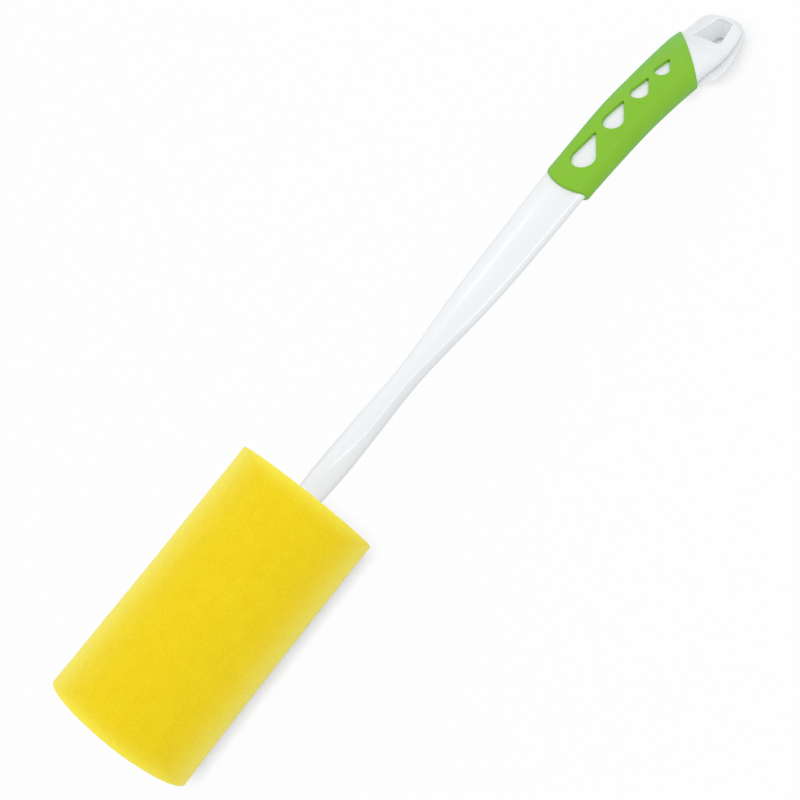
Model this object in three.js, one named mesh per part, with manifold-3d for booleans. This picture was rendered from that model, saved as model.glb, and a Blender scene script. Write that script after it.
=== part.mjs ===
// Bottle sponge brush: a foam cylinder pushed on the barbed stem of a white moulded handle, with a soft
// green sleeve round the grip. Millimetres. The brush lies face up on a surface: +X runs along the
// sponge's axis towards the hanging tip and +Z is up. Every piece is drawn with x = 0 at the foam's
// upper end and z = 0 on the sponge's axis, and the group at the end sets them on the surface.
import * as THREE from "three";
import { mergeVertices } from "three/addons/utils/BufferGeometryUtils.js";
import Module from "manifold-3d";

// Clearance kept between pieces that touch
const GAP = 0.3;

// Sponge: a cut foam cylinder with a blind bore
const SPONGE_DIAMETER = 55;
const SPONGE_LENGTH = 99;
const SPONGE_EDGE = 0.6;
const SPONGE_FACETS = 64;

// Stem: the barbed spigot inside the foam
const STEM_DIAMETER = 7.6;
const STEM_LENGTH = 80;
const STEM_POINT = 3;
const BARB_DIAMETER = 9.4;
const BARB_LENGTH = 7;
const BARB_PITCH = 19;
const BARB_COUNT = 3;
const PLUG_LENGTH = 8;
const BORE_END_ROOM = 2;
const STEM_FACETS = 32;

// Handle lengths along the sponge's axis: the places of the bulge, neck, shoulder and blade from the
// foam, the sleeve's two ends at its middle, and the white tip beyond the sleeve
const BULGE_AT = 15;
const NECK_AT = 57;
const SHOULDER_AT = 92;
const BLADE_AT = 115;
const GRIP_AT = 146.5;
const GRIP_LENGTH = 79.5;
const TIP_LENGTH = 24.5;

// Places along the grip and the tip: the straight run either side of the sleeve's start, then the palm
// from that start, the heel and the knee before the tip, and the pad, nose and cheek before its end
const GRIP_RUN = 8;
const PALM_FROM_GRIP = 37.5;
const HEEL_FROM_TIP = 24;
const KNEE_FROM_TIP = 12;
const PAD_FROM_END = 16;
const NOSE_FROM_END = 8;
const CHEEK_FROM_END = 3;

// Handle widths
const BASE_DIAMETER = 10;
const BULGE_DIAMETER = 10.8;
const NECK_WIDTH = 8.4;
const SHOULDER_WIDTH = 15;
const BLADE_WIDTH = 17.2;
const BLADE_END_WIDTH = 19;
const GRIP_WIDTH = 20.4;
const PALM_WIDTH = 21;
const HEEL_WIDTH = 21.6;
const KNEE_WIDTH = 22.4;
const TIP_WIDTH = 25;
const PAD_WIDTH = 26;
const NOSE_WIDTH = 24.6;
const CHEEK_WIDTH = 20.4;
const EDGE_WIDTH = 14;

// How far the middle of the handle falls behind the sponge's axis
const BULGE_DROP = 0.9;
const NECK_DROP = 2.9;
const SHOULDER_DROP = 4.15;
const BLADE_DROP = 4.7;
const GRIP_DROP = 5.15;
const GRIP_FALL = 0.25;
const PALM_DROP = 7.7;
const HEEL_DROP = 11.1;
const KNEE_DROP = 14;
const TIP_DROP = 17.6;
const PAD_DROP = 20.1;
const NOSE_DROP = 21.7;
const CHEEK_DROP = 22.9;
const EDGE_DROP = 23.7;

// Sleeve: its wall, how far it stands proud of the tip, and the slant and bow of its two ends
const SLEEVE_WALL = 1.5;
const SLEEVE_PROUD = 0.6;
const LOWER_SLANT = 0.2;
const LOWER_BOW = -2.5;
const UPPER_SLANT = 0.92;
const UPPER_BOW = 1.6;

// Row of drop-shaped windows through the sleeve's front, each smaller than the one before
const DROP_LENGTH = 17;
const DROP_WIDTH = 9.6;
const DROP_SHRINK = 0.84;
const DROP_SPACING = 2.4;
const DROP_MARGIN = 9;
const DROP_TILT = THREE.MathUtils.degToRad(14);

// Hanging slot through the tip: a rounded trapezium with its wide end towards the sleeve
const SLOT_FROM_END = 2.5;
const SLOT_LENGTH = 13.5;
const SLOT_WIDE = 11.4;
const SLOT_NARROW = 6.6;
const SLOT_CORNER = 1.6;

// How far the blade and the core reach into the pieces of the moulding that they join
const BLADE_TUCK = 6;
const CORE_TUCK = 3;
const STEM_ROOT = 4;

// Finishes of the three materials
const WHITE_PLASTIC = { color: 0xf1f4f6, roughness: 0.25, metalness: 0 };
const GREEN_RUBBER = { color: 0x83c43a, roughness: 0.5, metalness: 0 };
const YELLOW_FOAM = { color: 0xf0d51c, roughness: 0.95, metalness: 0 };

// How finely the skins are drawn, and how far the cutting prisms reach
const RINGS_BETWEEN = 3;
const FRONT_STEPS = 8;
const SIDE_STEPS = 3;
const BACK_STEPS = 12;
const CURVE_STEPS = 8;
const CUT_REACH = 600;
const CUT_HALF = 20;
const WELD = 1e-4;

const TIP_AT = GRIP_AT + GRIP_LENGTH;
const TIP_END = TIP_AT + TIP_LENGTH;
const NOSE_AT = TIP_END - NOSE_FROM_END;

// Forms of the sections across the handle, seen along it. inset: how far the creases of the front lie
// in from the widest place; face: height of the creases over the middle; crown: rise of the front
// between the creases; back: depth behind the middle; square: 2 for an elliptic back, more for a squarer.
const ROUND_FACET = 0.72;
const roundForm = (diameter) => {
  const radius = diameter / 2;
  const face = radius * Math.sqrt(1 - ROUND_FACET ** 2);
  return { inset: radius * (1 - ROUND_FACET), face, crown: radius - face, back: radius, square: 2 };
};
const NECK_FORM = { inset: 0.8, face: 3.45, crown: 0.6, back: 4, square: 2.2 };
const SHOULDER_FORM = { inset: 0.3, face: 2.75, crown: 0.85, back: 3.6, square: 2.4 };
const BLADE_FORM = { inset: 0.3, face: 2.45, crown: 1, back: 3.6, square: 2.5 };
const GRIP_FORM = { inset: 1.4, face: 3.9, crown: 0.9, back: 5.3, square: 3 };
const PALM_FORM = { inset: 1.5, face: 4.9, crown: 1.2, back: 6.6, square: 3 };
const HEEL_FORM = { inset: 1.6, face: 5, crown: 1.2, back: 7, square: 3 };
const TIP_FORM = { inset: 1.6, face: 4.2, crown: 1.8, back: 5.6, square: 3 };
const PAD_FORM = { inset: 1.5, face: 2.9, crown: 2, back: 4.2, square: 3 };
const NOSE_FORM = { inset: 1.3, face: 2.1, crown: 1.7, back: 3.3, square: 3 };
const EDGE_FORM = { inset: 0.9, face: 1.4, crown: 0.9, back: 2.2, square: 3 };
const FLANGE_FORM = { inset: 0.5, face: 1.2, crown: 0.3, back: 1.4, square: 4 };

const station = (at, drop, width, form) => ({ at, mid: -drop, half: width / 2, ...form });

// Neck and blade, from the foam to just inside the sleeve
const bladeStations = [
  station(0, 0, BASE_DIAMETER, roundForm(BASE_DIAMETER)),
  station(BULGE_AT, BULGE_DROP, BULGE_DIAMETER, roundForm(BULGE_DIAMETER)),
  station(NECK_AT, NECK_DROP, NECK_WIDTH, NECK_FORM),
  station(SHOULDER_AT, SHOULDER_DROP, SHOULDER_WIDTH, SHOULDER_FORM),
  station(BLADE_AT, BLADE_DROP, BLADE_WIDTH, BLADE_FORM),
  station(GRIP_AT + BLADE_TUCK, GRIP_DROP, BLADE_END_WIDTH, BLADE_FORM),
];

// Outside of the grip's sleeve, carried on over the tip
const gripStations = [
  station(GRIP_AT - GRIP_RUN, GRIP_DROP - GRIP_FALL, GRIP_WIDTH, GRIP_FORM),
  station(GRIP_AT + GRIP_RUN, GRIP_DROP + GRIP_FALL, GRIP_WIDTH, GRIP_FORM),
  station(GRIP_AT + PALM_FROM_GRIP, PALM_DROP, PALM_WIDTH, PALM_FORM),
  station(TIP_AT - HEEL_FROM_TIP, HEEL_DROP, HEEL_WIDTH, HEEL_FORM),
  station(TIP_AT - KNEE_FROM_TIP, KNEE_DROP, KNEE_WIDTH, HEEL_FORM),
  station(TIP_AT, TIP_DROP, TIP_WIDTH, TIP_FORM),
  station(TIP_END - PAD_FROM_END, PAD_DROP, PAD_WIDTH, PAD_FORM),
  station(NOSE_AT, NOSE_DROP, NOSE_WIDTH, NOSE_FORM),
  station(TIP_END - CHEEK_FROM_END, CHEEK_DROP, CHEEK_WIDTH, NOSE_FORM),
  station(TIP_END, EDGE_DROP, EDGE_WIDTH, EDGE_FORM),
];

// Flange behind the tip's pad, under each of the last stations. behind: how far its middle lies behind
// the pad's; reach: how far it stands out past the pad on each side, or is drawn in under it
const FLANGE_ROWS = [
  { behind: 3.4, reach: 0.7 },
  { behind: 3.3, reach: 0.6 },
  { behind: 2.9, reach: -0.6 },
  { behind: 3, reach: -2.3 },
  { behind: 2.7, reach: -3.2 },
  { behind: 2.2, reach: -3.2 },
];
const flangeStations = FLANGE_ROWS.map(({ behind, reach }, i) => {
  const { at, mid, half } = gripStations.at(i - FLANGE_ROWS.length);
  return { at, mid: mid - behind, half: half + reach, ...FLANGE_FORM };
});

const wasm = await Module();
wasm.setup();

// A closed geometry as a solid that can be joined and cut.
function solidOf(geometry) {
  const bare = new THREE.BufferGeometry();
  bare.setAttribute("position", geometry.getAttribute("position"));
  bare.setIndex(geometry.index);
  const merged = mergeVertices(bare, WELD);
  const vertProperties = merged.getAttribute("position").array;
  const triVerts = new Uint32Array(merged.index.array);
  return new wasm.Manifold(new wasm.Mesh({ numProp: 3, vertProperties, triVerts }));
}

// A solid as a named mesh with its material.
function pieceOf(name, solid, finish) {
  const { vertProperties, triVerts } = solid.getMesh();
  const geometry = new THREE.BufferGeometry();
  geometry.setAttribute("position", new THREE.BufferAttribute(vertProperties, 3));
  geometry.setIndex(new THREE.BufferAttribute(triVerts, 1));
  geometry.computeVertexNormals();
  const mesh = new THREE.Mesh(geometry, new THREE.MeshStandardMaterial(finish));
  mesh.name = name;
  return mesh;
}

// The outline of a section: over the crowned front, down one side, round the back and up the other side.
function ringOf({ at, mid, half, inset, face, crown, back, square }) {
  const points = [];
  const add = (y, z) => points.push(new THREE.Vector3(at, y, mid + z));
  const side = (z) => half - inset * (z / face) ** 2;
  const root = (value) => Math.sign(value) * Math.abs(value) ** (2 / square);
  for (let i = 0; i <= FRONT_STEPS; i++) {
    const across = 1 - (2 * i) / FRONT_STEPS;
    add((half - inset) * across, face + crown * (1 - across ** 2));
  }
  for (let i = 1; i <= SIDE_STEPS; i++) {
    const z = face * (1 - i / SIDE_STEPS);
    add(-side(z), z);
  }
  for (let i = 1; i <= BACK_STEPS; i++) {
    const turn = (Math.PI * i) / BACK_STEPS;
    add(-half * root(Math.cos(turn)), -back * root(Math.sin(turn)));
  }
  for (let i = 1; i < SIDE_STEPS; i++) {
    const z = (face * i) / SIDE_STEPS;
    add(side(z), z);
  }
  return points;
}

// The section at any place: each size runs through its stations on a cubic, whose slope at a station
// is that of the line between the stations on either side.
function sectionAt(stations, at) {
  const last = stations.length - 1;
  const found = stations.findIndex((one) => one.at >= at);
  const next = Math.max(found, 1);
  const [from, to] = [stations[next - 1], stations[next]];
  const [before, after] = [stations[Math.max(next - 2, 0)], stations[Math.min(next + 1, last)]];
  const span = to.at - from.at;
  const u = (at - from.at) / span;
  const section = { at };
  for (const key of Object.keys(from).filter((name) => name !== "at")) {
    const rise = to[key] - from[key];
    const start = (span * (to[key] - before[key])) / (to.at - before.at);
    const end = (span * (after[key] - from[key])) / (after.at - from.at);
    const bend = 3 * rise - 2 * start - end;
    section[key] = from[key] + u * (start + u * (bend + u * (start + end - 2 * rise)));
  }
  return section;
}

// A section drawn in on all sides by a wall.
function drawnIn(section, wall) {
  const { half, face, back } = section;
  return { ...section, half: half - wall, face: face - wall, back: back - wall };
}

// A closed skin over the sections at the stations and at even places between them, drawn in by a wall.
function loft(stations, wall = 0, stop = stations.at(-1).at) {
  const places = [stations[0].at];
  for (let i = 1; i < stations.length && stations[i].at <= stop; i++) {
    const [from, to] = [stations[i - 1].at, stations[i].at];
    for (let j = 1; j <= RINGS_BETWEEN; j++) {
      places.push(j === RINGS_BETWEEN ? to : from + ((to - from) * j) / RINGS_BETWEEN);
    }
  }
  const sections = places.map((at) => drawnIn(sectionAt(stations, at), wall));
  const points = sections.flatMap(ringOf);
  const count = points.length / sections.length;
  const index = [];
  for (let ring = 0; ring + 1 < sections.length; ring++) {
    for (let i = 0; i < count; i++) {
      const [a, b] = [ring * count + i, ring * count + ((i + 1) % count)];
      index.push(a, b, a + count, b, b + count, a + count);
    }
  }
  const cap = (section, ring, facesFoam) => {
    const centre = points.push(new THREE.Vector3(section.at, 0, section.mid)) - 1;
    for (let i = 0; i < count; i++) {
      const [a, b] = [ring * count + i, ring * count + ((i + 1) % count)];
      index.push(centre, facesFoam ? b : a, facesFoam ? a : b);
    }
  };
  cap(sections[0], 0, true);
  cap(sections.at(-1), sections.length - 1, false);
  return solidOf(new THREE.BufferGeometry().setFromPoints(points).setIndex(index));
}

// A round piece about the sponge's axis, from [x, diameter] pairs that start and end on the axis.
function turnedPiece(profile, facets) {
  const points = profile.map(([x, diameter]) => new THREE.Vector2(diameter / 2, x));
  const halfFacet = Math.PI / facets;
  return solidOf(new THREE.LatheGeometry(points, facets, halfFacet).rotateZ(-Math.PI / 2));
}

// A prism on a plan outline, from one height to another.
function prism(shape, low, high) {
  const settings = { depth: high - low, bevelEnabled: false, curveSegments: CURVE_STEPS };
  return solidOf(new THREE.ExtrudeGeometry(shape, settings).translate(0, 0, low));
}

// All that lies on the tip's side of a line across the handle. In plan the line is a parabola that crosses
// the middle at a place, leans by slant for each mm across, and falls back by bow at the grip's edges.
function beyond(at, slant, bow) {
  const sweep = bow * (CUT_HALF / (GRIP_WIDTH / 2)) ** 2;
  const shape = new THREE.Shape();
  shape.moveTo(at - slant * CUT_HALF - sweep, -CUT_HALF);
  shape.lineTo(CUT_REACH, -CUT_HALF);
  shape.lineTo(CUT_REACH, CUT_HALF);
  shape.lineTo(at + slant * CUT_HALF - sweep, CUT_HALF);
  shape.quadraticCurveTo(at + sweep, 0, at - slant * CUT_HALF - sweep, -CUT_HALF);
  return prism(shape, -CUT_REACH, CUT_REACH);
}

// A drop lying along x: a round end towards the foam and two straight sides that meet in a point.
function dropShape(length, width) {
  const radius = width / 2;
  const reach = length - radius;
  const touch = Math.acos(radius / reach);
  const shape = new THREE.Shape();
  shape.moveTo(reach, 0);
  shape.lineTo(radius * Math.cos(touch), radius * Math.sin(touch));
  shape.absarc(0, 0, radius, touch, 2 * Math.PI - touch, false);
  shape.closePath();
  return shape;
}

// The outline of the hanging slot: four straight sides with rounded corners.
function slotShape() {
  const [from, to] = [TIP_END - SLOT_FROM_END - SLOT_LENGTH, TIP_END - SLOT_FROM_END];
  const corners = [
    new THREE.Vector2(from, -SLOT_WIDE / 2),
    new THREE.Vector2(to, -SLOT_NARROW / 2),
    new THREE.Vector2(to, SLOT_NARROW / 2),
    new THREE.Vector2(from, SLOT_WIDE / 2),
  ];
  const shape = new THREE.Shape();
  corners.forEach((corner, i) => {
    const towards = (other) => other.clone().sub(corner).setLength(SLOT_CORNER).add(corner);
    const start = towards(corners.at(i - 1));
    const end = towards(corners[(i + 1) % corners.length]);
    if (i === 0) shape.moveTo(start.x, start.y);
    else shape.lineTo(start.x, start.y);
    shape.quadraticCurveTo(corner.x, corner.y, end.x, end.y);
  });
  shape.closePath();
  return shape;
}

// Sponge
const BORE_DIAMETER = Math.max(BASE_DIAMETER, BARB_DIAMETER) + 2 * GAP;
const BORE_DEPTH = STEM_LENGTH + BORE_END_ROOM;
const sponge = turnedPiece(
  [
    [-SPONGE_LENGTH, 0],
    [-SPONGE_LENGTH, SPONGE_DIAMETER - 2 * SPONGE_EDGE],
    [SPONGE_EDGE - SPONGE_LENGTH, SPONGE_DIAMETER],
    [-SPONGE_EDGE, SPONGE_DIAMETER],
    [0, SPONGE_DIAMETER - 2 * SPONGE_EDGE],
    [0, BORE_DIAMETER],
    [-BORE_DEPTH, BORE_DIAMETER],
    [-BORE_DEPTH, 0],
  ],
  SPONGE_FACETS,
);

// Stem: a point, barbs that slide in and hold, and a plug under the handle's base
const stemProfile = [
  [-STEM_LENGTH, 0],
  [-STEM_LENGTH, STEM_DIAMETER - STEM_POINT],
];
for (let i = 0; i < BARB_COUNT; i++) {
  const start = STEM_POINT - STEM_LENGTH + i * BARB_PITCH;
  stemProfile.push([start, STEM_DIAMETER]);
  stemProfile.push([start + BARB_LENGTH, BARB_DIAMETER]);
  stemProfile.push([start + BARB_LENGTH, STEM_DIAMETER]);
}
stemProfile.push([-PLUG_LENGTH, STEM_DIAMETER]);
stemProfile.push([-PLUG_LENGTH, BASE_DIAMETER], [0, BASE_DIAMETER]);
stemProfile.push([0, STEM_DIAMETER], [STEM_ROOT, STEM_DIAMETER], [STEM_ROOT, 0]);
const stem = turnedPiece(stemProfile, STEM_FACETS);

// Handle: stem, blade up to the sleeve, core under the sleeve, and tip with its flange and slot
const lower = beyond(GRIP_AT, LOWER_SLANT, LOWER_BOW);
const upper = beyond(TIP_AT, UPPER_SLANT, UPPER_BOW);
const envelope = loft(gripStations);
const coreStart = beyond(GRIP_AT - CORE_TUCK, LOWER_SLANT, LOWER_BOW);
const coreEnd = beyond(TIP_AT + CORE_TUCK, UPPER_SLANT, UPPER_BOW);
const core = loft(gripStations, SLEEVE_WALL + GAP, NOSE_AT).intersect(coreStart).subtract(coreEnd);
const tip = loft(gripStations, SLEEVE_PROUD).add(loft(flangeStations)).intersect(upper);
const blade = loft(bladeStations).subtract(lower);
const slot = prism(slotShape(), -CUT_REACH, CUT_REACH);
const handle = blade.add(stem).add(core).add(tip).subtract(slot);

// Sleeve: the grip's outside less the core, between its two slanted ends, with a row of windows
let sleeve = envelope
  .intersect(beyond(GRIP_AT + GAP, LOWER_SLANT, LOWER_BOW))
  .subtract(beyond(TIP_AT - GAP, UPPER_SLANT, UPPER_BOW))
  .subtract(loft(gripStations, SLEEVE_WALL, NOSE_AT));
let dropAt = GRIP_AT + DROP_MARGIN;
let size = 1;
while (dropAt + size * DROP_LENGTH + DROP_MARGIN < TIP_AT) {
  const centre = dropAt + (size * DROP_WIDTH) / 2;
  const outline = dropShape(size * DROP_LENGTH, size * DROP_WIDTH);
  const height = sectionAt(gripStations, centre).mid;
  const points = outline.getPoints(CURVE_STEPS);
  const middle = (size * (DROP_LENGTH - DROP_WIDTH)) / 2;
  for (const point of points) {
    point.rotateAround(new THREE.Vector2(middle, 0), DROP_TILT).add(new THREE.Vector2(centre, 0));
  }
  sleeve = sleeve.subtract(prism(new THREE.Shape(points), height, CUT_REACH));
  dropAt += size * DROP_LENGTH + DROP_SPACING;
  size *= DROP_SHRINK;
}

const brush = new THREE.Group();
brush.add(
  pieceOf("handle", handle, WHITE_PLASTIC),
  pieceOf("grip_sleeve", sleeve, GREEN_RUBBER),
  pieceOf("sponge", sponge, YELLOW_FOAM),
);
const box = new THREE.Box3().setFromObject(brush);
brush.position.set(-(box.min.x + box.max.x) / 2, 0, -box.min.z);

export default brush;
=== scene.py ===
"""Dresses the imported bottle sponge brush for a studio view.

Three pieces stand for the three solids: the foam head, the white moulded handle and the soft green sleeve
round its grip. Sizes are millimetres in the drawing's frame, in which x runs along the sponge's axis from the
foam's upper end towards the hanging tip, y runs across the handle and z runs up from the sponge's axis.
DrawingFrame carries them into the row frame, in metres.
"""

import itertools
import logging
import math
from dataclasses import astuple, dataclass, field, replace
from enum import Enum
from typing import Callable, Sequence

import bpy
import numpy as np
import numpy.typing as npt
from mathutils import Matrix, Quaternion, Vector


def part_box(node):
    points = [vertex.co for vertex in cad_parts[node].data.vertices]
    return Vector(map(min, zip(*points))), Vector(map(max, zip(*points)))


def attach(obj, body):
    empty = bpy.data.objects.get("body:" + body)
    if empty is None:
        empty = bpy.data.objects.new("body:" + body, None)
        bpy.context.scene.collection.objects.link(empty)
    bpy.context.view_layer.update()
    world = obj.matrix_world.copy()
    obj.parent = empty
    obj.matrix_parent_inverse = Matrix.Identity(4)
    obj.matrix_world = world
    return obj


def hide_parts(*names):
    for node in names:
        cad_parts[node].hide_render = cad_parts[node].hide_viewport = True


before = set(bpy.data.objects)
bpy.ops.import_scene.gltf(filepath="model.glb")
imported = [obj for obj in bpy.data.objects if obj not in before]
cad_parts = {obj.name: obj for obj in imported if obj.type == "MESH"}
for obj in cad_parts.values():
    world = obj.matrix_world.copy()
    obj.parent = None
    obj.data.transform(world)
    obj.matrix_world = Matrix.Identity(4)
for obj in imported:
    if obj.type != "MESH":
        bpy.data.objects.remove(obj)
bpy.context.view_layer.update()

Array = npt.NDArray[np.float64]
Index = npt.NDArray[np.int64]
Height = Callable[[Array, Array], Array]
Colour = tuple[float, float, float, float]
SocketValue = float | Sequence[float] | bpy.types.NodeSocket

MM = 0.001
RIGHT_ANGLE = math.pi / 2
WHITE = (1.0, 1.0, 1.0, 1.0)

log = logging.getLogger("sponge brush")


class Body(Enum):
    """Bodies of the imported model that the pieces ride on."""

    HANDLE = "handle"
    SPONGE = "sponge"


class Slot(Enum):
    """The record's material slots."""

    PLASTIC = "handle_plastic"
    RUBBER = "sleeve_rubber"
    FOAM = "sponge_foam"


class Ramp(Enum):
    """How a value goes from the low end of its range to the high end."""

    STRAIGHT = "LINEAR"
    SOFT = "SMOOTHSTEP"


@dataclass(frozen=True)
class DrawingFrame:
    """Where the drawing's zero lies in the row frame, in metres."""

    x: float
    z: float

    @classmethod
    def from_sponge(cls) -> "DrawingFrame":
        """Takes the foam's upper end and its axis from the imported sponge."""
        low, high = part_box("sponge")
        return cls(high.x, (low.z + high.z) / 2)

    def place(self, points: Array) -> Array:
        """Turns drawn points, in mm, into points of the row frame, in metres."""
        return points * MM + np.array([self.x, 0.0, self.z])


class Shell:
    """Collects the points and faces of one closed surface and makes a mesh object of them."""

    def __init__(self) -> None:
        """Starts with no points and no faces."""
        self.points = np.zeros((0, 3))
        self.quads = np.zeros((0, 4), np.int64)
        self.triangles = np.zeros((0, 3), np.int64)

    def add(self, points: Array) -> Index:
        """Adds points.

        Args:
            points: places of any grid shape, with x, y and z on the last axis.

        Returns:
            The numbers of the points, in the same grid shape.
        """
        shape = points.shape[:-1]
        numbers = len(self.points) + np.arange(math.prod(shape)).reshape(shape)
        self.points = np.concatenate([self.points, points.reshape(-1, 3)])
        return numbers

    def knit(self, grid: Index) -> None:
        """Joins rows of points into quads.

        Args:
            grid: the numbers of the points, each row being a closed ring.
        """
        beside = np.roll(grid, -1, axis=1)
        quads = np.stack([grid[:-1], grid[1:], beside[1:], beside[:-1]], axis=-1)
        self.quads = np.concatenate([self.quads, quads.reshape(-1, 4)])

    def cap(self, ring: Index, point: Sequence[float], ahead: bool) -> None:
        """Closes a ring with a fan.

        Args:
            ring: the numbers of the ring's points.
            point: the fan's middle.
            ahead: True where the fan follows the last row, False where it comes before the first.
        """
        middle = np.full(len(ring), self.add(np.array([point], float))[0])
        corners = [ring, middle, np.roll(ring, -1)] if ahead else [middle, ring, np.roll(ring, -1)]
        self.triangles = np.concatenate([self.triangles, np.stack(corners, axis=-1)])

    def open(self, block: Index) -> None:
        """Takes out the quads whose four corners all lie in a block of points.

        Args:
            block: the numbers of the block's points.
        """
        inside = np.zeros(len(self.points), bool)
        inside[block] = True
        self.quads = self.quads[~inside[self.quads].all(axis=1)]

    def volume(self) -> float:
        """Adds up the signed volumes of the tetrahedra between each triangle and the origin.

        Returns:
            The sum of a . (b x c) / 6 over the triangles, negative where the faces point inwards.
        """
        halves = [self.quads[:, [0, 1, 2]], self.quads[:, [0, 2, 3]], self.triangles]
        a, b, c = np.moveaxis(self.points[np.concatenate(halves)], 1, 0)
        return float(np.einsum("ij,ij->i", a, np.cross(b, c)).sum() / 6)

    def piece(self, name: str, place: DrawingFrame, sharp: float) -> bpy.types.Object:
        """Makes the mesh object, with its faces turned outwards and unused points left out.

        Args:
            name: the piece's name.
            place: carries the points into the row frame.
            sharp: the angle in degrees past which an edge is shaded sharp.

        Returns:
            The new object, at the origin, linked to the scene.
        """
        corners = [self.quads, self.triangles]
        if self.volume() < 0:
            corners = [faces[:, ::-1] for faces in corners]
        flat = np.concatenate([faces.reshape(-1) for faces in corners])
        used, loops = np.unique(flat, return_inverse=True)
        quad_starts = 4 * np.arange(len(self.quads))
        starts = np.concatenate([quad_starts, self.quads.size + 3 * np.arange(len(self.triangles))])
        mesh = bpy.data.meshes.new(name)
        mesh.vertices.add(len(used))
        mesh.vertices.foreach_set("co", place.place(self.points[used]).astype(np.float32).ravel())
        mesh.loops.add(len(loops))
        mesh.loops.foreach_set("vertex_index", loops.astype(np.int32).ravel())
        mesh.polygons.add(len(starts))
        mesh.polygons.foreach_set("loop_start", starts.astype(np.int32))
        mesh.update(calc_edges=True)
        mesh.shade_smooth()
        mesh.set_sharp_from_angle(angle=math.radians(sharp))
        piece = bpy.data.objects.new(name, mesh)
        bpy.context.scene.collection.objects.link(piece)
        return piece


@dataclass(frozen=True)
class Edge:
    """A line across the handle, seen from the front, that leans with the depth behind the front's middle.

    x = at + slant y - bow (y / half width) squared - curl (y / half width) to the sixth + lean depth.
    """

    at: float
    slant: float = 0.0
    bow: float = 0.0
    curl: float = 0.0
    lean: float = 0.0
    half_width: float = 10.2

    def x(self, y: Array, depth: Array | float = 0.0) -> Array:
        """Gives the place along the handle for places across it and depths behind the front's middle."""
        share = y / self.half_width
        return self.at + self.slant * y - self.bow * share**2 - self.curl * share**6 + self.lean * depth


@dataclass(frozen=True)
class Section:
    """A section across the handle, or arrays of many.

    at is its place along the handle and mid the height of its widest place, half its half width there.
    The front's creases lie inset from that width and face above it, and the front rises by crown between
    them. The back is a superellipse of depth back and power square. crease is how far the creases are
    rounded.
    """

    at: Array | float
    mid: Array | float
    half: Array | float
    inset: Array | float
    face: Array | float
    crown: Array | float
    back: Array | float
    square: Array | float
    crease: Array | float

    def front(self, y: Array) -> Array:
        """Gives the front's height: mid + face + crown (1 - (y / crease line) squared)."""
        return self.mid + self.face + self.crown * (1 - (y / (self.half - self.inset)) ** 2)

    def rear(self, y: Array) -> Array:
        """Gives mid - back (1 - |y / half| to the power square) to the power 1 / square."""
        across = np.minimum(np.abs(y / self.half), 1)
        return self.mid - self.back * (1 - across**self.square) ** (1 / self.square)

    def side(self, height: Array) -> Array:
        """Gives the half width at a height over mid: half - inset (height / face) squared."""
        return self.half - self.inset * (height / self.face) ** 2

    def behind(self, turn: Array) -> tuple[Array, Array]:
        """Gives y and z round the back: half cos and -back sin of the turn, to the power 2 / square."""
        y = self.half * np.maximum(np.cos(turn), 0) ** (2 / self.square)
        return y, self.mid - self.back * np.sin(turn) ** (2 / self.square)

    def columns(self, part: slice) -> "Section":
        """Gives the sizes of some columns of a grid of sections."""
        return Section(*(values[:, part] for values in astuple(self)))


class Skin:
    """Sections at any place along the handle, from a few stations.

    Each size runs through its stations on a cubic, whose slope at a station is that of the line between the
    stations on either side.
    """

    def __init__(self, stations: Sequence[Section]) -> None:
        """Keeps the stations' sizes and works out their slopes.

        Args:
            stations: the sections, in order along the handle.
        """
        self.sizes = np.array([astuple(one) for one in stations])
        padded = np.concatenate([self.sizes[:1], self.sizes, self.sizes[-1:]])
        rise = padded[2:] - padded[:-2]
        self.slopes = rise / rise[:, :1]

    def at(self, places: Array, wall: Array | float = 0.0) -> Section:
        """Gives the sections at places along the handle, drawn in on all sides by a wall.

        Args:
            places: any array of places, kept between the first station and the last.
            wall: how far the section is drawn in, broadcast to places.

        Returns:
            The sections, each size an array of the places' shape.
        """
        stations = self.sizes[:, 0]
        places = np.clip(places, stations[0], stations[-1])
        next_one = np.clip(np.searchsorted(stations, places), 1, len(stations) - 1)
        span = (stations[next_one] - stations[next_one - 1])[..., None]
        u = (places[..., None] - stations[next_one - 1][..., None]) / span
        rise = self.sizes[next_one] - self.sizes[next_one - 1]
        start = span * self.slopes[next_one - 1]
        end = span * self.slopes[next_one]
        bend = 3 * rise - 2 * start - end
        curve = self.sizes[next_one - 1] + u * (start + u * (bend + u * (start + end - 2 * rise)))
        at, mid, half, inset, face, crown, back, square, crease = np.moveaxis(curve, -1, 0)
        rounded = np.maximum(crease - wall, RingSteps.least_crease)
        return Section(at, mid, half - wall, inset, face - wall, crown, back - wall, square, rounded)


def bend_through(start: tuple[Array, Array], corner: tuple[Array, Array], end: tuple[Array, Array],
                 share: Array) -> tuple[Array, Array]:
    """Rounds a corner with a quadratic Bezier curve.

    Args:
        start: y and z where the curve starts.
        corner: y and z of the corner that it rounds.
        end: y and z where it ends.
        share: how far along the curve each column lies, from 0 to 1.

    Returns:
        y and z of the columns.
    """
    weights = ((1 - share) ** 2, 2 * share * (1 - share), share**2)
    y, z = (sum(w * point[axis] for w, point in zip(weights, (start, corner, end))) for axis in (0, 1))
    return y, z


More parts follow.
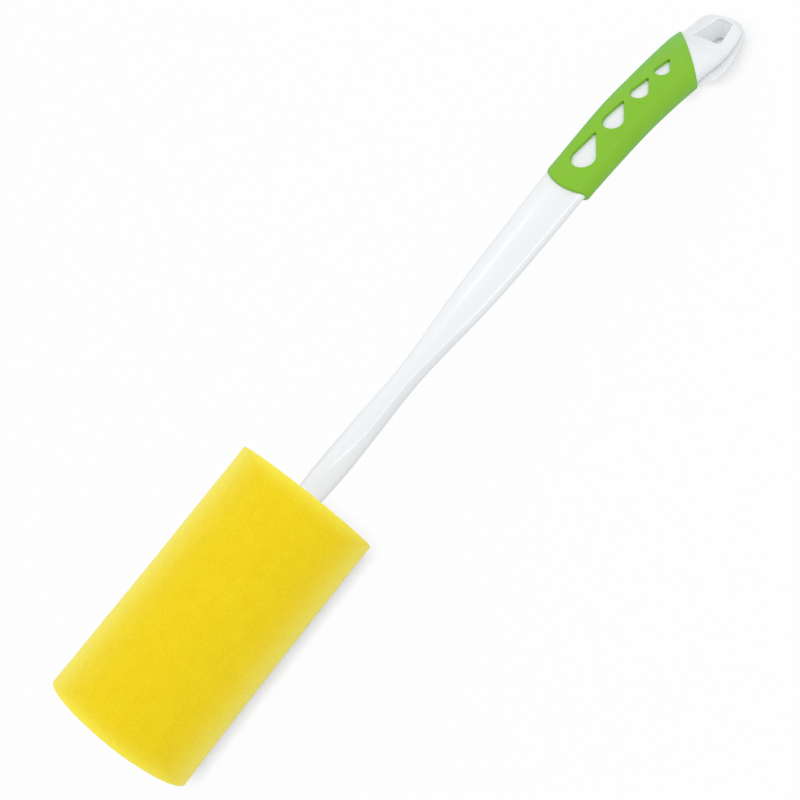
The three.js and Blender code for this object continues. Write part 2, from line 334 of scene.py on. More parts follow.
@dataclass(frozen=True)
class RingSteps:
    """How many columns of a ring lie on each part of a section, from the front's middle to the back's."""

    front: int = 26
    crease: int = 8
    side: int = 8
    under: int = 8
    ledge: int = 3
    lip: int = 9
    back: int = 26
    front_ease: float = 1.6
    back_ease: float = 1.7
    corner_turn: float = math.radians(35)
    deepest_crease: float = 0.8
    least_crease: float = 0.3
    lip_run: float = 0.4
    deepest_ledge: float = 0.97
    passes: int = 12

    @property
    def half(self) -> int:
        """The number of columns from the front's middle to the back's, less one."""
        return self.front + self.crease + self.side + self.under + self.ledge + self.lip + self.back

    @property
    def ring(self) -> int:
        """The number of columns of a whole ring."""
        return 2 * self.half

    def parts(self) -> list[tuple[slice, Array]]:
        """Shares out the columns of a half ring.

        Returns:
            Each part's columns, and the share of the part that each column has run.
        """
        counts = (self.front, self.crease, self.side, self.under, self.ledge, self.lip, self.back)
        ends = np.cumsum(counts) + 1
        found = [(slice(0, self.front + 1), np.linspace(0, 1, self.front + 1))]
        for count, end in zip(counts[1:], ends[1:]):
            found.append((slice(end - count, end), np.arange(1, count + 1) / count))
        return found

    def middle_columns(self, reach: int) -> Index:
        """Gives the columns within reach of the front's middle, from -y to +y."""
        return np.arange(-reach, reach + 1) % self.ring

    def rear_columns(self, reach: int) -> Index:
        """Gives the columns within reach of the back's middle, from -y to +y."""
        return self.half - np.arange(-reach, reach + 1)

    def half_ring(self, skin: Section, flange: Section | None) -> tuple[Array, Array]:
        """Runs from the front's middle, over a rounded crease and down the side, to the back's middle.

        With a flange the run leaves the side's lower part at the flange's height, goes out along its ledge,
        over its rounded lip and round its back.

        Args:
            skin: the sections, a grid of rows by half-ring columns.
            flange: the flange's sections on the same grid, or None.

        Returns:
            y, never negative, and z of each column.
        """
        runs = []
        (cut, share), *rest = self.parts()
        one = skin.columns(cut)
        y = (1 - (1 - share) ** self.front_ease) * (one.half - one.inset - one.crease)
        runs.append((y, one.front(y)))

        cut, share = rest[0]
        one = skin.columns(cut)
        line = one.half - one.inset
        height = one.face - np.minimum(one.crease, self.deepest_crease * one.face)
        start = (line - one.crease, one.front(line - one.crease))
        corner, end = (line, one.mid + one.face), (one.side(height), one.mid + height)
        runs.append(bend_through(start, corner, end, share))

        cut, share = rest[1]
        one = skin.columns(cut)
        height = (one.face - np.minimum(one.crease, self.deepest_crease * one.face)) * (1 - share)
        runs.append((one.side(height), one.mid + height))

        if flange is None:
            cut = slice(rest[2][0].start, rest[4][0].stop)
            share = np.arange(1, cut.stop - cut.start + 1) / (cut.stop - cut.start)
            runs.append(skin.columns(cut).behind(self.corner_turn * share))
            first_turn, rear = self.corner_turn, skin
        else:
            runs.extend(self.flange_runs(skin, flange, rest[2:5]))
            first_turn, rear = 0.0, flange

        cut, share = rest[5]
        eased = 1 - (1 - share) ** self.back_ease
        runs.append(rear.columns(cut).behind(first_turn + (RIGHT_ANGLE - first_turn) * eased))
        ys, zs = zip(*runs)
        return np.concatenate(ys, axis=1), np.concatenate(zs, axis=1)

    def flange_runs(self, skin: Section, flange: Section,
                    parts: list[tuple[slice, Array]]) -> list[tuple[Array, Array]]:
        """Gives the runs down under the pad into a groove, along the flange's ledge and over its lip.

        The groove deepens with the square of the way down.

        Args:
            skin: the pad's sections.
            flange: the flange's sections.
            parts: the columns and shares of the three runs.

        Returns:
            y and z of each run.
        """
        def meeting(cut: slice) -> tuple[Array, Array]:
            """Finds where the ledge meets the pad.

            Args:
                cut: the columns.

            Returns:
                The share of the pad's depth, and the turn there.
            """
            pad, rim = skin.columns(cut), flange.columns(cut)
            depth = np.clip((pad.mid - rim.mid - rim.face) / pad.back, 0, self.deepest_ledge)
            return depth, np.arcsin(depth ** (pad.square / 2))

        def ledge_of(cut: slice) -> tuple[Array, Array, Array]:
            """Finds the ledge's two ends.

            Args:
                cut: the columns.

            Returns:
                The ledge's height, and y of its inner corner and of the start of its lip.
            """
            pad, rim = skin.columns(cut), flange.columns(cut)
            depth, turn = meeting(cut)
            corner = pad.behind(turn)[0] - rim.inset
            outer = rim.half - np.clip(rim.half - corner, -self.lip_run, self.lip_run)
            return pad.mid - depth * pad.back, corner, outer

        (under, under_share), (flat, flat_share), (lip, lip_share) = parts
        side, height = skin.columns(under).behind(meeting(under)[1] * under_share)
        runs = [(side - flange.columns(under).inset * under_share**2, height)]
        ledge, corner, outer = ledge_of(flat)
        runs.append((corner + (outer - corner) * flat_share, ledge))
        ledge, _, outer = ledge_of(lip)
        rim = flange.columns(lip)
        runs.append(bend_through((outer, ledge), (rim.half, ledge), (rim.half, rim.mid), lip_share))
        return runs

    def rows(self, skins: tuple[Skin, Skin], start: Edge, stop: Edge, share: Array,
             shift: Array | float = 0.0, wall: Array | float = 0.0, flange: Skin | None = None,
             flange_wall: Array | float = 0.0) -> Array:
        """Draws rings between two lines across the handle.

        A ring's place along the handle depends on y and z where a line slants, and these on the section
        there, so they are worked out in turn a few times, each time going half of the way.

        Args:
            skins: the sections along the handle on its +y side and on its -y side.
            start: the line that share 0 lies on.
            stop: the line that share 1 lies on.
            share: each row's share of the way.
            shift: how far each row is moved along the handle.
            wall: how far each row is drawn in.
            flange: the flange's sections, where there is one.
            flange_wall: how far each row of the flange is drawn in.

        Returns:
            The points, rows by ring columns by 3.
        """
        share, shift, wall, flange_wall = (
            np.broadcast_to(np.asarray(values, float), share.shape)[:, None]
            for values in (share, shift, wall, flange_wall)
        )
        sides = []
        for sign, skin in zip((1, -1), skins):
            y, depth = np.zeros((2, len(share), self.half + 1))
            for _ in range(self.passes):
                x = (1 - share) * start.x(sign * y, depth) + share * stop.x(sign * y, depth) + shift
                rim = flange.at(x, flange_wall) if flange else None
                new_y, z = self.half_ring(skin.at(x, wall), rim)
                y, depth = (y + new_y) / 2, (depth + z[:, :1] - z) / 2
            sides.append(np.stack([x, sign * y, z], axis=-1))
        return np.concatenate([sides[0], sides[1][:, -2:0:-1]], axis=1)


class Outline:
    """The outline of a hole seen from the front, as a radius round a middle point."""

    middle: tuple[float, float]

    def radius(self, angle: Array) -> Array:
        """Gives the radius at angles round the middle."""
        raise NotImplementedError

    def points(self, angle: Array) -> Array:
        """Gives x and y of the outline at angles round its middle."""
        ray = np.stack([np.cos(angle), np.sin(angle)], axis=-1)
        return np.array(self.middle) + self.radius(angle)[:, None] * ray

    def outward(self, angle: Array) -> Array:
        """Turns the outline's tangent, taken over a small step, by a right angle.

        Args:
            angle: angles round the middle.

        Returns:
            The outward normals.
        """
        step = 1e-3
        along = self.points(angle + step) - self.points(angle - step)
        along /= np.linalg.norm(along, axis=1, keepdims=True)
        return np.stack([along[:, 1], -along[:, 0]], axis=-1)


@dataclass(frozen=True)
class Drop(Outline):
    """A drop: a circle and its two tangents to a softened point."""

    middle: tuple[float, float]
    girth: float
    reach: float
    tilt: float
    power: float = 12.0
    least: float = 1e-9

    def radius(self, angle: Array) -> Array:
        """Gives the circle's radius, or within the tangents the smooth least of the two lines' distances.

        Args:
            angle: angles round the middle.

        Returns:
            The radius at each angle.
        """
        off = np.abs((angle - self.tilt + math.pi) % (2 * math.pi) - math.pi)
        touch = math.acos(self.girth / self.reach)
        near = np.maximum(np.cos(off - touch), 0) ** self.power
        far = np.maximum(np.cos(off + touch), 0) ** self.power
        lines = np.maximum(near + far, self.least) ** (-1 / self.power)
        return np.where(off < touch, self.girth * lines, self.girth)


@dataclass(frozen=True)
class Trapezium(Outline):
    """A trapezium with softened corners, its wide end at the lower x and its sides turned by a skew."""

    middle: tuple[float, float]
    length: float
    wide: float
    narrow: float
    skew: float = 0.0
    power: float = 9.0

    def radius(self, angle: Array) -> Array:
        """Gives the smooth least of the four sides' distances.

        It is a power mean of cos(angle - normal) / distance, turned over.

        Args:
            angle: angles round the middle.

        Returns:
            The radius at each angle.
        """
        lean = math.atan2((self.wide - self.narrow) / 2, self.length)
        aside = (self.wide + self.narrow) / 4 * math.cos(lean)
        ends = [(0.0, self.length / 2), (math.pi, self.length / 2)]
        sides = [(self.skew + turn * (RIGHT_ANGLE - lean), aside) for turn in (1, -1)]
        nearness = (np.maximum(np.cos(angle - normal), 0) / far for normal, far in ends + sides)
        return sum(one**self.power for one in nearness) ** (-1 / self.power)


@dataclass(frozen=True)
class Mouth:
    """One end of a hole: the block of points to cut it in, the surface's height and the rim's rounding."""

    block: Index
    height: Height
    rim: float
    spread: int = 5
    rim_steps: int = 5

    def loop(self) -> Index:
        """Gives the block's border, from its first row's -y end across to +y, along, back across and back."""
        block = self.block
        return np.concatenate([block[0, :-1], block[:-1, -1], block[-1, :0:-1], block[:0:-1, 0]])

    def loops(self, border: Array, hole: Array, outward: Array, side: float) -> Array:
        """Draws loops from the block's border to the hole's rim and over it, a quarter round.

        Where the border lies off the surface's height, the loops make up for it evenly on their way.

        Args:
            border: the border's points.
            hole: x and y of the hole's wall at each point.
            outward: the wall's outward normals.
            side: 1 where the surface faces up and -1 where it faces down.

        Returns:
            The loops' points, loops by points by 3.
        """
        share = np.linspace(0, 1, self.spread + 1)[1:]
        flat = border[:, :2] + (hole + outward * self.rim - border[:, :2]) * share[:, None, None]
        lift = (border[:, 2] - self.height(border[:, 0], border[:, 1])) * (1 - share[:, None])
        turn = np.linspace(0, RIGHT_ANGLE, self.rim_steps + 1)[1:, None]
        round_off = hole + outward * (self.rim * (1 - np.sin(turn)))[..., None]
        plan = np.concatenate([flat, round_off])
        sunk = np.broadcast_to(-side * self.rim * (1 - np.cos(turn)), round_off.shape[:2])
        height = self.height(plan[..., 0], plan[..., 1]) + np.concatenate([lift, sunk])
        return np.concatenate([plan, height[..., None]], axis=-1)


def pierce(shell: Shell, outline: Outline, top: Mouth, bottom: Mouth, taper: float = 0.0,
           slide: tuple[float, float] = (0.0, 0.0)) -> None:
    """Cuts a hole with rounded rims and a straight wall between two blocks of a shell's grid.

    The hole's lower outline is the upper one, drawn in towards its middle by the taper and moved by the
    slide.

    Args:
        shell: the shell, already knit.
        outline: the hole's outline.
        top: the mouth in the surface that faces up.
        bottom: the mouth in the surface that faces down.
        taper: the share by which the hole narrows on its way down.
        slide: how far along and across the hole moves on its way down.
    """
    wall_steps = 6
    shell.open(top.block)
    shell.open(bottom.block)
    first, last = top.loop(), bottom.loop()
    border = shell.points[first]
    away = border[:, :2] - np.array(outline.middle)
    angle = np.arctan2(away[:, 1], away[:, 0])
    hole, outward = outline.points(angle), outline.outward(angle)
    upper = top.loops(border, hole, outward, 1.0)
    narrowed = hole + (np.array(outline.middle) - hole) * taper + np.array(slide)
    lower = bottom.loops(shell.points[last], narrowed, outward, -1.0)[::-1]
    share = np.linspace(0, 1, wall_steps + 1)[1:-1, None, None]
    wall = upper[-1] + (lower[0] - upper[-1]) * share
    made = shell.add(np.concatenate([upper, wall, lower]))
    shell.knit(np.concatenate([first[None], made, last[None]]))


class ValueNoise:
    """Smooth noise between -1 and 1: random numbers on a lattice, eased between its corners."""

    side = 48

    def __init__(self, seed: int) -> None:
        """Draws the lattice from a seed."""
        self.lattice = np.random.default_rng(seed).uniform(-1, 1, (self.side,) * 3)

    def at(self, points: Array, size: float) -> Array:
        """Gives the noise at points.

        Args:
            points: places, with x, y and z on the last axis.
            size: the lattice's pitch, in the points' units.

        Returns:
            The noise at each point.
        """
        cell = points / size
        low = np.floor(cell).astype(int)
        part = cell - low
        part = part * part * (3 - 2 * part)
        total = np.zeros(points.shape[:-1])
        for corner in itertools.product((0, 1), repeat=3):
            weight = np.where(corner, part, 1 - part).prod(axis=-1)
            spot = (low + corner) % self.side
            total += weight * self.lattice[spot[..., 0], spot[..., 1], spot[..., 2]]
        return total


class NodeSheet:
    """A node tree that nodes are added to and joined in one call each."""

    plain_facing: float = 0.5

    def __init__(self, tree: bpy.types.NodeTree) -> None:
        """Takes the tree as it is."""
        self.tree = tree

    def join(self, node: bpy.types.Node, sockets: dict[str | int, SocketValue]) -> None:
        """Sets a node's inputs, or joins outputs to them.

        Args:
            node: the node.
            sockets: a value or an output for each named or numbered input.
        """
        for key, value in sockets.items():
            if isinstance(value, bpy.types.NodeSocket):
                self.tree.links.new(value, node.inputs[key])
            else:
                node.inputs[key].default_value = value

    def add(self, kind: str, sockets: dict[str | int, SocketValue] | None = None,
            **settings: object) -> bpy.types.Node:
        """Adds a node.

        Args:
            kind: the node's type.
            sockets: a value or an output to join for each named or numbered input.
            settings: the node's own properties.

        Returns:
            The new node.
        """
        node = self.tree.nodes.new(kind)
        for name, value in settings.items():
            setattr(node, name, value)
        self.join(node, sockets or {})
        return node

    def maths(self, operation: str, *values: SocketValue) -> bpy.types.NodeSocket:
        """Works out a value from others and gives its socket."""
        return self.add("ShaderNodeMath", dict(enumerate(values)), operation=operation).outputs[0]

    def vector_maths(self, operation: str, *values: SocketValue) -> bpy.types.NodeSocket:
        """Works out a vector from others and gives its socket."""
        return self.add("ShaderNodeVectorMath", dict(enumerate(values)), operation=operation).outputs[0]

    def length(self, vector: bpy.types.NodeSocket) -> bpy.types.NodeSocket:
        """Gives the socket of a vector's length."""
        return self.add("ShaderNodeVectorMath", {0: vector}, operation="LENGTH").outputs["Value"]

    def ranged(self, value: SocketValue, span: tuple[float, float], low: SocketValue, high: SocketValue,
               ramp: Ramp) -> bpy.types.NodeSocket:
        """Carries a value from one range into another, and keeps it there.

        Args:
            value: the value.
            span: the ends of its own range.
            low: what the first end becomes.
            high: what the other end becomes.
            ramp: how it goes from one to the other.

        Returns:
            The socket of the new value.
        """
        sockets = {"Value": value, "From Min": span[0], "From Max": span[1], "To Min": low, "To Max": high}
        return self.add("ShaderNodeMapRange", sockets, interpolation_type=ramp.value).outputs[0]

    def blend(self, share: SocketValue, first: SocketValue, second: SocketValue) -> bpy.types.NodeSocket:
        """Mixes two colours and gives the result's socket."""
        node = self.add("ShaderNodeMix", {0: share, 6: first, 7: second}, data_type="RGBA")
        return node.outputs[2]

    def bump(self, height: bpy.types.NodeSocket, depth: float, sunk: bool = False) -> bpy.types.NodeSocket:
        """Gives the socket of a normal bent by a height of up to a depth in metres, or sunk by it."""
        sockets = {"Strength": 1.0, "Distance": depth, "Height": height}
        return self.add("ShaderNodeBump", sockets, invert=sunk).outputs[0]

    def glancing(self, start: float, stop: float) -> bpy.types.NodeSocket:
        """Gives a mask of 0 to 1 that rises, between two values of Facing, as the surface turns away; the
        finishes paint shade and light with it.
        """
        facing = self.add("ShaderNodeLayerWeight", {"Blend": self.plain_facing}).outputs["Facing"]
        return self.ranged(facing, (start, stop), 0.0, 1.0, Ramp.SOFT)

    def place(self, group: bpy.types.NodeTree, sockets: dict[str | int, SocketValue]) -> bpy.types.NodeSocket:
        """Places a node group and gives the socket of its one output."""
        return self.add("ShaderNodeGroup", sockets, node_tree=group).outputs[0]


def empty_group(name: str, floats: Sequence[str],
                output: str) -> tuple[NodeSheet, bpy.types.Node, bpy.types.Node]:
    """Starts a shader node group with a vector and some values going in and one value coming out.

    Args:
        name: the group's name.
        floats: the names of the values that go in.
        output: the name of the value that comes out.

    Returns:
        The group's sheet, its input node and its output node.
    """
    tree = bpy.data.node_groups.new(name, "ShaderNodeTree")
    tree.interface.new_socket("Vector", in_out="INPUT", socket_type="NodeSocketVector")
    for label in floats:
        tree.interface.new_socket(label, in_out="INPUT", socket_type="NodeSocketFloat")
    tree.interface.new_socket(output, in_out="OUTPUT", socket_type="NodeSocketFloat")
    sheet = NodeSheet(tree)
    return sheet, sheet.add("NodeGroupInput"), sheet.add("NodeGroupOutput")


@dataclass
class SharedEffects:
    """Node groups that more than one finish uses, and how their noise is drawn."""

    grain_detail: float = 3.0
    grain_roughness: float = 0.55
    grain_span: tuple[float, float] = (0.3, 0.7)
    streak_detail: float = 5.0
    streak_roughness: float = 0.7
    streak_span: tuple[float, float] = (0.58, 0.74)
    streak_squeeze: tuple[float, float, float] = (0.12, 1.0, 1.0)

    def __post_init__(self) -> None:
        """Builds each group once."""
        self.grain = self.build_grain()
        self.scuffs = self.build_scuffs()

    def build_grain(self) -> bpy.types.NodeTree:
        """Makes soft cloudy grain of a given size, in metres, spread between a low and a high value.

        Returns:
            The group.
        """
        sheet, inlet, outlet = empty_group("surface grain", ("Size", "Low", "High"), "Value")
        given = inlet.outputs
        noise = sheet.add("ShaderNodeTexNoise", {
            "Vector": given["Vector"], "Scale": sheet.maths("DIVIDE", 1.0, given["Size"]),
            "Detail": self.grain_detail, "Roughness": self.grain_roughness})
        grain = sheet.ranged(noise.outputs[0], self.grain_span, given["Low"], given["High"], Ramp.STRAIGHT)
        sheet.join(outlet, {0: grain})
        return sheet.tree

    def build_scuffs(self) -> bpy.types.NodeTree:
        """Makes sparse rubbed streaks along the handle, of a given spacing in metres, from 0 to an amount.

        Returns:
            The group.
        """
        sheet, inlet, outlet = empty_group("fine scuffs", ("Spacing", "Amount"), "Mask")
        given = inlet.outputs
        noise = sheet.add("ShaderNodeTexNoise", {
            "Vector": sheet.vector_maths("MULTIPLY", given["Vector"], self.streak_squeeze),
            "Scale": sheet.maths("DIVIDE", 1.0, given["Spacing"]),
            "Detail": self.streak_detail, "Roughness": self.streak_roughness})
        streaks = sheet.ranged(noise.outputs[0], self.streak_span, 0.0, given["Amount"], Ramp.SOFT)
        sheet.join(outlet, {0: streaks})
        return sheet.tree


class Finish:
    """A material of one of the record's slots."""

    slot: Slot

    def fill(self, sheet: NodeSheet, coords: bpy.types.NodeSocket, shader: bpy.types.Node,
             effects: SharedEffects) -> None:
        """Joins the finish's nodes to its shader, from the piece's Object coordinates."""
        raise NotImplementedError

    def material(self, effects: SharedEffects) -> bpy.types.Material:
        """Makes the material.

        Args:
            effects: the shared node groups.

        Returns:
            The material, named for its slot.
        """
        material = bpy.data.materials.new(self.slot.value)
        material.use_nodes = True
        sheet = NodeSheet(material.node_tree)
        coords = sheet.add("ShaderNodeTexCoord").outputs["Object"]
        self.fill(sheet, coords, material.node_tree.nodes["Principled BSDF"], effects)
        return material

    def dress(self, piece: bpy.types.Object, effects: SharedEffects) -> None:
        """Gives a piece the material and its slot's name."""
        piece.data.materials.append(self.material(effects))


@dataclass(frozen=True)
class Moulding(Finish):
    """A moulded surface: two tones, a painted shade at glancing angles, smudges, scuffs and a fine relief.

    Sizes are in metres. gloss is the shader's input that sets how it shines, and that input's value.
    """

    slot: Slot
    first: Colour
    second: Colour
    # painted shade: a colour mixed in as the surface turns away, at glancing angles
    glancing: Colour
    glancing_from: float
    glancing_to: float
    tone_size: float
    smudge_size: float
    smoothest: float
    dullest: float
    scuff_spacing: float
    scuff_amount: float
    relief_size: float
    relief_depth: float
    gloss: tuple[str, float]

    def fill(self, sheet: NodeSheet, coords: bpy.types.NodeSocket, shader: bpy.types.Node,
             effects: SharedEffects) -> None:
        """Joins the tones and a painted glancing shade to Base Color, smudges and scuffs to Roughness, the
        relief to Normal.

        Args:
            sheet: the material's sheet.
            coords: the piece's Object coordinates.
            shader: the material's shader.
            effects: the shared node groups.
        """
        def grain(size: float, low: float = 0.0, high: float = 1.0) -> bpy.types.NodeSocket:
            """Places the grain of a size, spread between two values."""
            return sheet.place(effects.grain, {"Vector": coords, "Size": size, "Low": low, "High": high})

        scuffs = sheet.place(effects.scuffs, {
            "Vector": coords, "Spacing": self.scuff_spacing, "Amount": self.scuff_amount})
        smudges = grain(self.smudge_size, self.smoothest, self.dullest)
        # painted shade at glancing angles: the glancing colour is mixed into the tones
        turned = sheet.glancing(self.glancing_from, self.glancing_to)
        body = sheet.blend(grain(self.tone_size), self.first, self.second)
        shine, value = self.gloss
        sheet.join(shader, {
            "Base Color": sheet.blend(turned, body, self.glancing),
            "Roughness": sheet.maths("ADD", smudges, scuffs),
            "Normal": sheet.bump(grain(self.relief_size), self.relief_depth), shine: value})


@dataclass(frozen=True)
class WhitePlastic(Moulding):
    """Glossy white moulding with a cool tone and slight waviness, with a painted grey shade at glancing
    angles.
    """

    slot: Slot = Slot.PLASTIC
    first: Colour = (0.845, 0.880, 0.905, 1.0)
    second: Colour = (0.875, 0.895, 0.905, 1.0)
    # painted shade: a greyer white at glancing angles, darkening the outlines
    glancing: Colour = (0.760, 0.785, 0.800, 1.0)
    glancing_from: float = 0.3
    glancing_to: float = 0.65
    tone_size: float = 0.035
    smudge_size: float = 0.007
    smoothest: float = 0.17
    dullest: float = 0.22
    scuff_spacing: float = 0.0035
    scuff_amount: float = 0.10
    relief_size: float = 0.006
    relief_depth: float = 0.00002
    gloss: tuple[str, float] = ("IOR", 1.55)


@dataclass(frozen=True)
class GreenRubber(Moulding):
    """Satin soft moulding: yellow-green, with a painted darker, bluer shade at glancing angles, and a fine
    mould grain.
    """

    slot: Slot = Slot.RUBBER
    first: Colour = (0.232, 0.535, 0.024, 1.0)
    second: Colour = (0.220, 0.517, 0.021, 1.0)
    # painted shade: a darker, bluer green at glancing angles
    glancing: Colour = (0.125, 0.480, 0.070, 1.0)
    glancing_from: float = 0.4
    glancing_to: float = 0.9
    tone_size: float = 0.012
    smudge_size: float = 0.004
    smoothest: float = 0.42
    dullest: float = 0.54
    scuff_spacing: float = 0.0025
    scuff_amount: float = 0.08
    relief_size: float = 0.0005
    relief_depth: float = 0.00002
    gloss: tuple[str, float] = ("Specular IOR Level", 0.3)


@dataclass(frozen=True)
class YellowFoam(Finish):
    """Fine open-cell foam: uneven pores with painted shade, a mottled tone, and painted pale light at its
    rims and glancing angles.

    middle, half_length and radius place the foam in the row frame. Sizes are in metres.
    """

    middle: tuple[float, float, float]
    half_length: float
    radius: float
    slot: Slot = Slot.FOAM
    bright: Colour = (0.930, 0.704, 0.011, 1.0)
    mellow: Colour = (0.900, 0.664, 0.007, 1.0)
    # painted shade: a darker yellow mixed into the pores
    pore_shade: Colour = (0.790, 0.550, 0.005, 1.0)
    # painted light: a paler yellow for glow at the rims and sheen at glancing angles
    pale: Colour = (0.985, 0.865, 0.080, 1.0)
    bounce: Colour = (0.940, 0.910, 0.800, 1.0)
    mottle_size: float = 0.006
    jitter_size: float = 0.0012
    jitter_detail: float = 2.0
    jitter_middle: tuple[float, float, float] = (0.5, 0.5, 0.5)
    jitter: float = 0.0004
    glancing_from: float = 0.15
    glancing_to: float = 0.85
    rim_glow_reach: float = 0.008
    rim_glow_fade: float = 2.6
    pore_size: float = 0.0006
    pore_span: tuple[float, float] = (0.15, 0.6)
    pore_depth: float = 0.00006
    pore_shade_share: float = 0.2
    roughness: float = 0.95
    specular: float = 0.15
    sheen: float = 0.28
    sheen_roughness: float = 0.45
    sheen_tint: Colour = (1.0, 0.97, 0.86, 1.0)

    def rims(self, sheet: NodeSheet, coords: bpy.types.NodeSocket) -> bpy.types.NodeSocket:
        """Makes a mask for painted light that fades from 1 at the foam's two rims to 0 a little way off.

        The distance from a rim is the length of the way along the axis and the way in from the side together.

        Args:
            sheet: the material's sheet.
            coords: the piece's Object coordinates.

        Returns:
            The mask's socket.
        """
        local = sheet.vector_maths("SUBTRACT", coords, self.middle)
        out = sheet.length(sheet.vector_maths("MULTIPLY", local, (0.0, 1.0, 1.0)))
        along = sheet.add("ShaderNodeSeparateXYZ", {0: local}).outputs[0]
        short = sheet.maths("SUBTRACT", self.half_length, sheet.maths("ABSOLUTE", along))
        inward = sheet.maths("SUBTRACT", self.radius, out)
        distance = sheet.length(sheet.add("ShaderNodeCombineXYZ", {0: short, 1: inward}).outputs[0])
        near = sheet.ranged(distance, (0.0, self.rim_glow_reach), 1.0, 0.0, Ramp.STRAIGHT)
        return sheet.maths("POWER", near, self.rim_glow_fade)

    def pores(self, sheet: NodeSheet, coords: bpy.types.NodeSocket) -> bpy.types.NodeSocket:
        """Makes a mask of 1 in the pores: the middles of Voronoi cells on coordinates shaken by noise.

        Args:
            sheet: the material's sheet.
            coords: the piece's Object coordinates.

        Returns:
            The mask's socket.
        """
        stray = sheet.add("ShaderNodeTexNoise", {
            "Vector": coords, "Scale": 1 / self.jitter_size, "Detail": self.jitter_detail}).outputs["Color"]
        centred = sheet.vector_maths("SUBTRACT", stray, self.jitter_middle)
        offset = sheet.add("ShaderNodeVectorMath", {0: centred, "Scale": self.jitter}, operation="SCALE")
        shaken = sheet.vector_maths("ADD", coords, offset.outputs[0])
        cells = sheet.add("ShaderNodeTexVoronoi", {"Vector": shaken, "Scale": 1 / self.pore_size})
        return sheet.ranged(cells.outputs["Distance"], self.pore_span, 1.0, 0.0, Ramp.SOFT)

    def fill(self, sheet: NodeSheet, coords: bpy.types.NodeSocket, shader: bpy.types.Node,
             effects: SharedEffects) -> None:
        """Joins mottling, painted pore shade and painted pale light to Base Color and the pores' depth to
        Normal, with a plain sheen.

        Light that the foam throws on other pieces is paler than the foam.

        Args:
            sheet: the material's sheet.
            coords: the piece's Object coordinates.
            shader: the material's shader.
            effects: the shared node groups.
        """
        mottle = sheet.place(effects.grain, {
            "Vector": coords, "Size": self.mottle_size, "Low": 0.0, "High": 1.0})
        pores = self.pores(sheet, coords)
        body = sheet.blend(mottle, self.bright, self.mellow)
        # painted shade in the pores
        pore_shaded = sheet.blend(sheet.maths("MULTIPLY", pores, self.pore_shade_share), body, self.pore_shade)
        turned = sheet.glancing(self.glancing_from, self.glancing_to)
        # painted light: the pale colour near the rims and at glancing angles
        seen = sheet.blend(sheet.maths("MAXIMUM", self.rims(sheet, coords), turned), pore_shaded, self.pale)
        thrown = sheet.add("ShaderNodeLightPath").outputs["Is Diffuse Ray"]
        sheet.join(shader, {
            "Base Color": sheet.blend(thrown, seen, self.bounce), "Roughness": self.roughness,
            "Normal": sheet.bump(pores, self.pore_depth, sunk=True), "Specular IOR Level": self.specular,
            "Sheen Weight": self.sheen, "Sheen Roughness": self.sheen_roughness,
            "Sheen Tint": self.sheen_tint})


